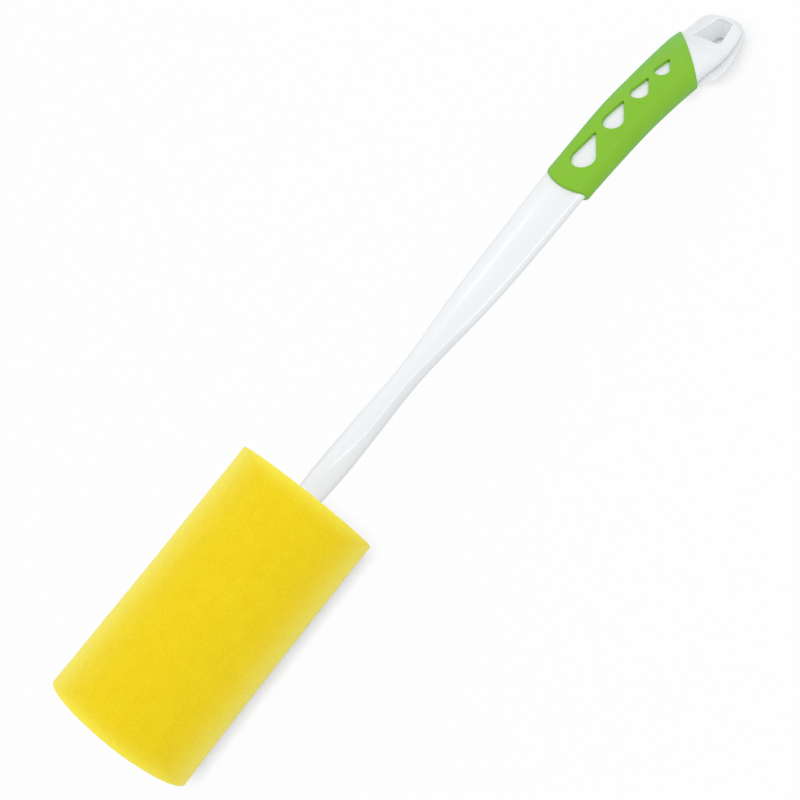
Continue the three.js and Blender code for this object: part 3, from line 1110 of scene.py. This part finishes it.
@dataclass
class FoamHead:
    """The foam cylinder: a cut surface of revolution with a soft rim, uneven faces and a blind bore.

    Its radius grows by the flare towards each end, fading with e to the minus distance over reach, and
    each end stands out a little by the overrun.
    """

    diameter: float = 55.0
    length: float = 99.0
    rim: float = 0.28
    flare: float = 0.3
    flare_reach: float = 12.0
    overrun: float = 0.3
    bore_diameter: float = 10.1
    bore_depth: float = 82.0
    bore_lip: float = 0.5
    columns: int = 320
    side_rows: int = 176
    face_rows: int = 40
    face_ease: float = 0.8
    bore_rows: int = 10
    rim_rows: int = 6
    pole_radius: float = 0.4
    seed: int = 20
    fine_size: float = 0.9
    fine_depth: float = 0.07
    coarse_size: float = 3.2
    coarse_depth: float = 0.06
    wander_size: float = 24.0
    wander_depth: float = 0.14
    lip_share: float = 0.2
    same_row: float = 1e-6
    sharp: float = 80.0

    def profile(self) -> tuple[Array, Array, Array]:
        """Runs from the middle of the free end, over the side, to the middle of the bore's end.

        Returns:
            x and radius of each row, and the share of the foam's unevenness that it takes.
        """
        radius, bore = self.diameter / 2, self.bore_diameter / 2
        turn = np.linspace(0, RIGHT_ANGLE, self.rim_rows)
        flat = radius + self.flare - self.rim
        low, high = -self.length - self.overrun, self.overrun
        eased = np.linspace(0, 1, self.face_rows) ** self.face_ease
        out = self.pole_radius + (flat - self.pole_radius) * eased
        side = np.linspace(low + self.rim, high - self.rim, self.side_rows)
        ends = sum(np.exp(-np.abs(side - end) / self.flare_reach) for end in (side[0], side[-1]))
        inward = flat + (bore + self.bore_lip - flat) * np.linspace(0, 1, self.face_rows)
        down = np.linspace(high - self.bore_lip, -self.bore_depth, self.bore_rows)
        runs = [
            (np.full_like(out, low), out, 1.0),
            (low + self.rim * (1 - np.cos(turn)), flat + self.rim * np.sin(turn), 1.0),
            (side, radius + self.flare * ends, 1.0),
            (high + self.rim * (np.sin(turn) - 1), flat + self.rim * np.cos(turn), 1.0),
            (np.full_like(inward, high), inward, 1.0),
            (high + self.bore_lip * (np.cos(turn) - 1), bore + self.bore_lip * (1 - np.sin(turn)),
             self.lip_share),
            (down, np.full_like(down, bore), 0.0),
            (np.array([-self.bore_depth]), np.array([self.pole_radius]), 0.0),
        ]
        x = np.concatenate([run[0] for run in runs])
        r = np.concatenate([run[1] for run in runs])
        share = np.concatenate([np.full_like(run[0], run[2]) for run in runs])
        fresh = np.concatenate([[True], np.hypot(np.diff(x), np.diff(r)) > self.same_row])
        return x[fresh], r[fresh], share[fresh]

    def build(self, place: DrawingFrame) -> bpy.types.Object:
        """Makes the foam, each point moved along its normal by three sizes of noise.

        Args:
            place: carries the points into the row frame.

        Returns:
            The foam head.
        """
        x, r, share = self.profile()
        around = np.linspace(0, 2 * math.pi, self.columns, endpoint=False)
        ray = np.stack([np.zeros_like(around), np.cos(around), np.sin(around)], axis=-1)
        along = np.array([1.0, 0.0, 0.0])
        points = x[:, None, None] * along + r[:, None, None] * ray
        dx, dr = np.gradient(x), np.gradient(r)
        run = np.hypot(dx, dr)
        normal = (-dr / run)[:, None, None] * along + (dx / run)[:, None, None] * ray
        noise = ValueNoise(self.seed)
        sizes = ((self.fine_size, self.fine_depth), (self.coarse_size, self.coarse_depth),
                 (self.wander_size, self.wander_depth))
        uneven = sum(depth * noise.at(points, size) for size, depth in sizes)
        shell = Shell()
        grid = shell.add(points + normal * (share[:, None] * uneven)[..., None])
        shell.knit(grid)
        shell.cap(grid[0], (x[0], 0.0, 0.0), ahead=False)
        shell.cap(grid[-1], (-self.bore_depth, 0.0, 0.0), ahead=True)
        return shell.piece("foam_head", place, self.sharp)

    def dress(self, piece: bpy.types.Object, effects: SharedEffects) -> None:
        """Gives the foam its finish, and sets it on the sponge's body in the solid's place.

        Args:
            piece: the foam head.
            effects: the shared node groups.
        """
        low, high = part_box("sponge")
        middle = (low + high) / 2
        YellowFoam(tuple(middle), high.x - middle.x, high.y - middle.y).dress(piece, effects)
        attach(piece, Body.SPONGE.value)
        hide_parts("sponge")


def round_station(at: float, drop: float, diameter: float, crease: float, facet: float = 0.72) -> Section:
    """Gives a round section, whose front between the creases spans a share of the diameter.

    Args:
        at: place along the handle.
        drop: how far its middle falls behind the sponge's axis.
        diameter: its diameter.
        crease: how far its creases are rounded.
        facet: the front's share of the diameter.

    Returns:
        The section.
    """
    radius = diameter / 2
    face = radius * math.sqrt(1 - facet**2)
    return Section(at, -drop, radius, radius * (1 - facet), face, radius - face, radius, 2.0, crease)


def flange_station(at: float, mid: float, half: float, groove: float, face: float, back: float,
                   square: float) -> Section:
    """Gives a section of the flange, whose front lies flat under the pad.

    Args:
        at: place along the handle.
        mid: the height of its widest place.
        half: its half width.
        groove: the depth of the groove between it and the pad, kept as its inset.
        face: how far its front stands above its widest place.
        back: how far its back lies below that.
        square: the power of its back's superellipse.

    Returns:
        The section.
    """
    crown, crease = 0.3, 0.3
    return Section(at, mid, half, groove, face, crown, back, square, crease)


@dataclass
class Grip:
    """The grip's outer form, carried on over the tip, and the two lines where the sleeve ends.

    The tip's pad is fuller on its +y side, so the two sides have their own half widths.
    """

    lower: Edge = Edge(146.0, 0.16, -2.5, -0.3, 0.22)
    upper: Edge = Edge(224.75, 0.94, 0.2, 0.0, -0.1)
    tip_end: Edge = Edge(250.5)
    wall: float = 1.5
    proud: float = 0.6
    stations: tuple[Section, ...] = (
        Section(138.5, -4.9, 10.4, 1.4, 3.9, 0.9, 5.3, 3.0, 3.2),
        Section(154.5, -5.4, 10.4, 1.4, 3.9, 0.9, 5.3, 3.0, 3.2),
        Section(184.0, -7.7, 10.7, 1.5, 4.9, 1.2, 6.6, 3.0, 3.4),
        Section(202.0, -11.1, 11.2, 1.6, 5.0, 1.2, 7.0, 3.0, 3.4),
        Section(214.0, -14.0, 11.6, 1.6, 5.0, 1.2, 7.0, 3.0, 2.9),
        Section(226.0, -17.6, 12.8, 1.6, 4.2, 1.8, 5.6, 3.0, 2.3),
        Section(230.5, -19.0, 13.4, 1.6, 3.5, 1.9, 4.8, 3.0, 2.2),
        Section(234.5, -20.1, 13.3, 1.5, 2.9, 2.0, 4.2, 3.0, 2.3),
        Section(242.5, -21.7, 12.3, 1.3, 2.1, 1.7, 3.3, 3.0, 2.3),
        Section(247.5, -22.9, 11.8, 1.3, 2.1, 1.7, 3.3, 3.0, 2.0),
        Section(250.5, -23.7, 9.6, 0.9, 1.4, 0.9, 2.2, 3.0, 1.6),
    )
    other_half: tuple[float, ...] = (10.4, 10.4, 10.7, 11.0, 11.5, 12.2, 12.0, 11.6, 10.0, 7.9, 5.0)
    flange: Skin = field(default_factory=lambda: Skin([
        flange_station(213.0, -17.1, 9.6, 0.8, 0.6, 0.5, 4.0),
        flange_station(216.2, -18.0, 12.4, 0.8, 0.8, 0.7, 4.0),
        flange_station(219.6, -18.9, 14.5, 0.8, 1.2, 1.2, 4.0),
        flange_station(226.0, -20.7, 14.8, 0.8, 1.2, 1.4, 4.0),
        flange_station(234.5, -22.9, 12.9, 0.8, 1.2, 1.4, 4.0),
        flange_station(242.5, -24.3, 10.3, 0.6, 1.2, 1.4, 3.6),
        flange_station(247.5, -24.9, 8.0, 0.3, 1.2, 1.2, 3.0),
        flange_station(250.5, -24.9, 5.0, 0.0, 1.2, 0.9, 2.4),
    ]))

    def __post_init__(self) -> None:
        """Makes the skins of the two sides."""
        other = [replace(one, half=half) for one, half in zip(self.stations, self.other_half)]
        self.skins = (Skin(self.stations), Skin(other))

    def front(self, x: Array, y: Array, wall: float = 0.0) -> Array:
        """Gives the front's height on either side, drawn in by a wall."""
        heights = (skin.at(x, wall).front(y) for skin in self.skins)
        return np.where(y > 0, *heights)


@dataclass
class WhiteHandle:
    """The white moulding: a barbed stem, neck and blade, the core under the sleeve and the slotted tip."""

    grip: Grip
    steps: RingSteps
    stem_length: float = 80.0
    stem_diameter: float = 7.6
    stem_point: float = 3.0
    barb_diameter: float = 9.4
    barb_length: float = 7.0
    barb_pitch: float = 19.0
    barb_count: int = 3
    plug_diameter: float = 10.0
    plug_length: float = 8.0
    contact: float = 0.02
    blade_rows: int = 190
    core_rows: int = 60
    tip_rows: int = 84
    nose_rows: int = 8
    nose_run: float = 1.0
    nose_round: float = 0.6
    nose_rings: int = 3
    slot: Trapezium = Trapezium((240.25, -0.75), 13.5, 12.2, 6.6, math.radians(2.1))
    slot_columns: int = 29
    slot_rows: tuple[float, float] = (0.06, 0.985)
    slot_rim: float = 0.5
    slot_taper: float = 0.28
    slot_slide: tuple[float, float] = (-2.0, -1.2)
    slot_spread: int = 12
    sharp: float = 38.0
    blade: Skin = field(default_factory=lambda: Skin([
        round_station(0.0, 0.0, 10.0, 2.2),
        round_station(13.0, 0.8, 10.7, 1.2),
        Section(30.0, -1.7, 4.75, 0.6, 3.3, 1.0, 5.2, 2.1, 0.5),
        Section(57.0, -2.8, 4.3, 0.5, 3.0, 0.8, 4.0, 2.2, 0.5),
        Section(92.0, -3.8, 7.8, 0.3, 2.0, 1.2, 3.3, 2.4, 1.2),
        Section(115.0, -4.35, 8.9, 0.3, 1.75, 1.35, 3.3, 2.5, 1.2),
        Section(152.5, -4.8, 9.8, 0.3, 1.75, 1.35, 3.3, 2.5, 1.2),
    ]))

    def stem(self, base: Array) -> Array:
        """Scales the base's ring along the barbed stem, from its point to the plug.

        Args:
            base: the ring at the foam's upper end.

        Returns:
            The stem's rings.
        """
        shoulder = self.stem_point - self.stem_length
        rows = [(-self.stem_length, self.stem_diameter - self.stem_point), (shoulder, self.stem_diameter)]
        for number in range(self.barb_count):
            foot = shoulder + number * self.barb_pitch
            top = foot + self.barb_length
            rows += [(foot, self.stem_diameter), (top, self.barb_diameter), (top, self.stem_diameter)]
        rows += [(-self.plug_length, self.stem_diameter), (-self.plug_length, self.plug_diameter)]
        x, diameter = np.array(rows).T
        rings = base[None] * (diameter / self.plug_diameter)[:, None, None]
        rings[..., 0] = x[:, None]
        return rings

    def tip(self) -> Array:
        """Draws the tip from the sleeve's upper line to a rounded nose.

        Returns:
            The tip's rings.
        """
        grip = self.grip
        share = np.linspace(0, 1, self.tip_rows)
        turn = np.linspace(0, RIGHT_ANGLE, self.nose_rows + 1)[1:]
        shares = np.concatenate([share, np.ones_like(turn)])
        shift = np.concatenate([-self.nose_run * share, self.nose_run * (np.sin(turn) - 1)])
        drawn = np.concatenate([np.zeros_like(share), self.nose_round * (1 - np.cos(turn))])
        return self.steps.rows(grip.skins, grip.upper, grip.tip_end, shares, shift, grip.proud + drawn,
                               grip.flange, drawn)

    def build(self, place: DrawingFrame) -> bpy.types.Object:
        """Makes the handle as one grid of rings from the stem's point to the nose, with the slot cut through.

        Args:
            place: carries the points into the row frame.

        Returns:
            The handle.
        """
        grip = self.grip
        core_wall = grip.wall + self.contact
        blade_skins = (self.blade, self.blade)
        blade = self.steps.rows(blade_skins, Edge(0.0), grip.lower, np.linspace(0, 1, self.blade_rows))
        core_share = np.linspace(0, 1, self.core_rows)
        core = self.steps.rows(grip.skins, grip.lower, grip.upper, core_share, wall=core_wall)
        tip = self.tip()
        shell = Shell()
        body = [shell.add(rings) for rings in (self.stem(blade[0]), blade, core, tip)]
        nose = tip[-1].mean(axis=0)
        shrink = np.linspace(1, 0, self.nose_rings + 2)[1:-1, None, None]
        end = shell.add(nose + (tip[-1] - nose) * shrink)
        shell.knit(np.concatenate([*body, end]))
        shell.cap(body[0][0], (-self.stem_length, 0.0, 0.0), ahead=False)
        shell.cap(end[-1], nose, ahead=True)
        self.cut_slot(shell, body[-1])
        return shell.piece("white_handle", place, self.sharp)

    def cut_slot(self, shell: Shell, tip: Index) -> None:
        """Cuts the hanging slot through the tip, from its front to the flange's back.

        Args:
            shell: the handle's shell, already knit.
            tip: the numbers of the tip's points.
        """
        grip = self.grip
        first, last = (round(share * (self.tip_rows - 1)) for share in self.slot_rows)
        rows = np.arange(first, last + 1)[:, None]
        front = tip[rows, self.steps.middle_columns(self.slot_columns)]
        rear = tip[rows, self.steps.rear_columns(self.slot_columns)]
        pierce(
            shell, self.slot,
            Mouth(front, lambda x, y: grip.front(x, y, grip.proud), self.slot_rim),
            Mouth(rear, lambda x, y: grip.flange.at(x).rear(y), self.slot_rim, self.slot_spread),
            self.slot_taper, self.slot_slide)

    def dress(self, piece: bpy.types.Object, effects: SharedEffects) -> None:
        """Gives the handle its finish, and sets it on its body in the solid's place.

        Args:
            piece: the handle.
            effects: the shared node groups.
        """
        WhitePlastic().dress(piece, effects)
        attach(piece, Body.HANDLE.value)
        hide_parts("handle")


@dataclass
class GripSleeve:
    """The soft sleeve round the core, with rounded lips and a row of drop-shaped windows."""

    grip: Grip
    steps: RingSteps
    lip: float = 0.55
    rows: int = 181
    lip_rows: int = 7
    drop_length: float = 17.0
    drop_width: float = 9.6
    drop_shrink: float = 0.84
    drop_spacing: float = 2.4
    drop_margin: float = 9.0
    drop_count: int = 4
    drop_tilt: float = math.radians(14)
    drop_rim: float = 0.4
    under_rim: float = 0.1
    drop_columns: int = 29
    drop_samples: int = 200
    room: int = 2
    sharp: float = 50.0

    def drops(self) -> list[Drop]:
        """Sets the windows in a row, each smaller than the one before and turned about its middle.

        Returns:
            The windows' outlines.
        """
        found = []
        at = self.grip.lower.at + self.drop_margin
        size = 1.0
        for _ in range(self.drop_count):
            girth = size * self.drop_width / 2
            reach = size * self.drop_length - girth
            half = (reach - girth) / 2
            x = at + girth + half * (1 - math.cos(self.drop_tilt))
            found.append(Drop((x, -half * math.sin(self.drop_tilt)), girth, reach, self.drop_tilt))
            at += size * self.drop_length + self.drop_spacing
            size *= self.drop_shrink
        return found

    def build(self, place: DrawingFrame) -> bpy.types.Object:
        """Makes the sleeve as a closed tube: up its outside, over the upper lip, down its inside and back.

        Args:
            place: carries the points into the row frame.

        Returns:
            The sleeve.
        """
        grip, lip = self.grip, self.lip
        share = np.linspace(0, 1, self.rows)
        turn = np.linspace(RIGHT_ANGLE, 0, self.lip_rows)
        runs = [
            (np.zeros_like(turn), lip * (1 - np.sin(turn)), lip * (1 - np.cos(turn))),
            (share, lip * (1 - 2 * share), np.zeros_like(share)),
            (np.ones_like(turn), lip * (np.sin(turn[::-1]) - 1), lip * (1 - np.cos(turn[::-1]))),
            (share[::-1], np.zeros_like(share), np.full_like(share, grip.wall)),
        ]
        shell = Shell()
        made = [shell.add(self.steps.rows(grip.skins, grip.lower, grip.upper, *run)) for run in runs]
        shell.knit(np.concatenate([*made, made[0][:1]]))
        for drop in self.drops():
            self.cut_window(shell, drop, made[1], made[3][::-1])
        return shell.piece("green_grip_sleeve", place, self.sharp)

    def cut_window(self, shell: Shell, drop: Drop, outside: Index, inside: Index) -> None:
        """Cuts one window between the rows of the grid that its outline spans, with a little room.

        Args:
            shell: the sleeve's shell, already knit.
            drop: the window's outline.
            outside: the numbers of the outside's points.
            inside: the numbers of the inside's points, in the same order.
        """
        grip = self.grip
        edge = drop.points(np.linspace(-math.pi, math.pi, self.drop_samples))
        low, high = grip.lower.x(edge[:, 1]), grip.upper.x(edge[:, 1])
        row = (edge[:, 0] - low) / (high - low) * (self.rows - 1)
        rows = np.arange(math.floor(row.min()) - self.room, math.ceil(row.max()) + self.room + 1)[:, None]
        columns = self.steps.middle_columns(self.drop_columns)
        pierce(
            shell, drop,
            Mouth(outside[rows, columns], lambda x, y: grip.front(x, y), self.drop_rim),
            Mouth(inside[rows, columns], lambda x, y: grip.front(x, y, grip.wall), self.under_rim))

    def dress(self, piece: bpy.types.Object, effects: SharedEffects) -> None:
        """Gives the sleeve its finish, and sets it on the handle's body in the solid's place.

        Args:
            piece: the sleeve.
            effects: the shared node groups.
        """
        GreenRubber().dress(piece, effects)
        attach(piece, Body.HANDLE.value)
        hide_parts("grip_sleeve")


@dataclass(frozen=True)
class Lamp:
    """A lamp: the way to it, how far it stands, its length along x, its width and its power."""

    name: str
    way: tuple[float, float, float]
    far: float
    length: float
    width: float
    power: float

    def build(self, aim: Vector) -> None:
        """Makes the lamp, its long side along x, turned to a point.

        Args:
            aim: the point.
        """
        light = bpy.data.lights.new(self.name, "AREA")
        light.energy = self.power
        light.shape = "RECTANGLE"
        light.size = self.length
        light.size_y = self.width
        lamp = bpy.data.objects.new(self.name, light)
        way = Vector(self.way).normalized()
        across = way.cross(Vector((1.0, 0.0, 0.0))).normalized()
        lamp.location = aim + way * self.far
        lamp.rotation_euler = Matrix((across.cross(way), across, way)).transposed().to_euler()
        bpy.context.scene.collection.objects.link(lamp)


@dataclass
class Studio:
    """A plain pale floor, soft light from the upper left and a camera at the photograph's angle.

    Lengths are in metres.
    """

    floor_half: float = 3.0
    floor_colour: Colour = (0.80, 0.80, 0.80, 1.0)
    floor_glow: float = 0.95
    shade_reach: float = 0.007
    ambient: float = 0.85
    lamps: tuple[Lamp, ...] = (
        Lamp("soft_key", (0.05, 0.70, 0.71), 1.4, 1.1, 1.1, 1.3),
        Lamp("streak", (0.330, 0.640, 0.695), 1.1, 0.07, 0.08, 0.13),
        Lamp("crease_light", (0.285, -0.44, 0.85), 1.1, 0.35, 0.25, 1.7),
    )
    lamp_aim: tuple[float, float, float] = (0.03, 0.0, 0.02)
    eye: tuple[float, float, float] = (-0.09655, -0.24163, 0.37469)
    aim: tuple[float, float, float] = (-0.02395, 0.01343, 0.00019)
    roll: float = math.radians(-38.44)
    sensor: float = 36.0
    frame_pixels: float = 800.0
    focal_pixels: float = 1219.7
    near_clip: float = 0.01

    def build(self) -> None:
        """Makes the floor, the world, the lamps and the camera."""
        bpy.context.scene.view_settings.view_transform = "Standard"
        self.build_floor()
        self.build_world()
        for lamp in self.lamps:
            lamp.build(Vector(self.lamp_aim))
        self.build_camera()

    def seen_directly(self, sheet: NodeSheet) -> bpy.types.NodeSocket:
        """Tells rays from the camera, a reflection or a transmission from others.

        Args:
            sheet: the sheet that the nodes are added to.

        Returns:
            The socket of 1 for those rays and 0 for others.
        """
        path = sheet.add("ShaderNodeLightPath").outputs
        first = sheet.maths("MAXIMUM", path["Is Camera Ray"], path["Is Glossy Ray"])
        return sheet.maths("MAXIMUM", first, path["Is Transmission Ray"])

    def build_floor(self) -> None:
        """Makes a flat floor, white where it is seen directly, less so where the brush shades it."""
        half = self.floor_half
        mesh = bpy.data.meshes.new("pale_floor")
        corners = [(-half, -half, 0), (half, -half, 0), (half, half, 0), (-half, half, 0)]
        mesh.from_pydata(corners, [], [(0, 1, 2, 3)])
        floor = bpy.data.objects.new("pale_floor", mesh)
        bpy.context.scene.collection.objects.link(floor)
        material = bpy.data.materials.new("pale_floor")
        material.use_nodes = True
        sheet = NodeSheet(material.node_tree)
        sheet.tree.nodes.clear()
        plain = sheet.add("ShaderNodeBsdfDiffuse", {"Color": self.floor_colour}).outputs[0]
        white = sheet.add("ShaderNodeEmission", {"Color": WHITE, "Strength": 1.0}).outputs[0]
        open_sky = sheet.add("ShaderNodeAmbientOcclusion", {"Distance": self.shade_reach}).outputs["AO"]
        glow = sheet.maths("MULTIPLY", open_sky, self.floor_glow)
        share = sheet.maths("MULTIPLY", self.seen_directly(sheet), glow)
        both = sheet.add("ShaderNodeMixShader", {0: share, 1: plain, 2: white}).outputs[0]
        sheet.add("ShaderNodeOutputMaterial", {"Surface": both})
        mesh.materials.append(material)

    def build_world(self) -> None:
        """Makes an even white surround, plain white where it is seen directly."""
        world = bpy.data.worlds.new("studio")
        world.use_nodes = True
        bpy.context.scene.world = world
        sheet = NodeSheet(world.node_tree)
        sheet.tree.nodes.clear()
        strength = sheet.ranged(self.seen_directly(sheet), (0.0, 1.0), self.ambient, 1.0, Ramp.STRAIGHT)
        light = sheet.add("ShaderNodeBackground", {"Color": WHITE, "Strength": strength}).outputs[0]
        sheet.add("ShaderNodeOutputWorld", {"Surface": light})

    def build_camera(self) -> None:
        """Makes the camera, turned about its line of sight so that the brush lies corner to corner."""
        lens = bpy.data.cameras.new("camera")
        lens.sensor_width = self.sensor
        lens.lens = self.sensor * self.focal_pixels / self.frame_pixels
        lens.clip_start = self.near_clip
        camera = bpy.data.objects.new("camera", lens)
        sight = Vector(self.aim) - Vector(self.eye)
        camera.location = self.eye
        camera.rotation_mode = "QUATERNION"
        camera.rotation_quaternion = sight.to_track_quat("-Z", "Y") @ Quaternion((0, 0, 1), self.roll)
        bpy.context.scene.collection.objects.link(camera)
        bpy.context.scene.camera = camera


def main() -> None:
    """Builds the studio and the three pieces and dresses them."""
    logging.basicConfig(level=logging.INFO, format="%(name)s: %(message)s")
    Studio().build()
    place = DrawingFrame.from_sponge()
    effects = SharedEffects()
    grip, steps = Grip(), RingSteps()
    for part in (FoamHead(), WhiteHandle(grip, steps), GripSleeve(grip, steps)):
        piece = part.build(place)
        part.dress(piece, effects)
        log.info("%s: %d faces", piece.name, len(piece.data.polygons))


if __name__ == "__main__":
    main()
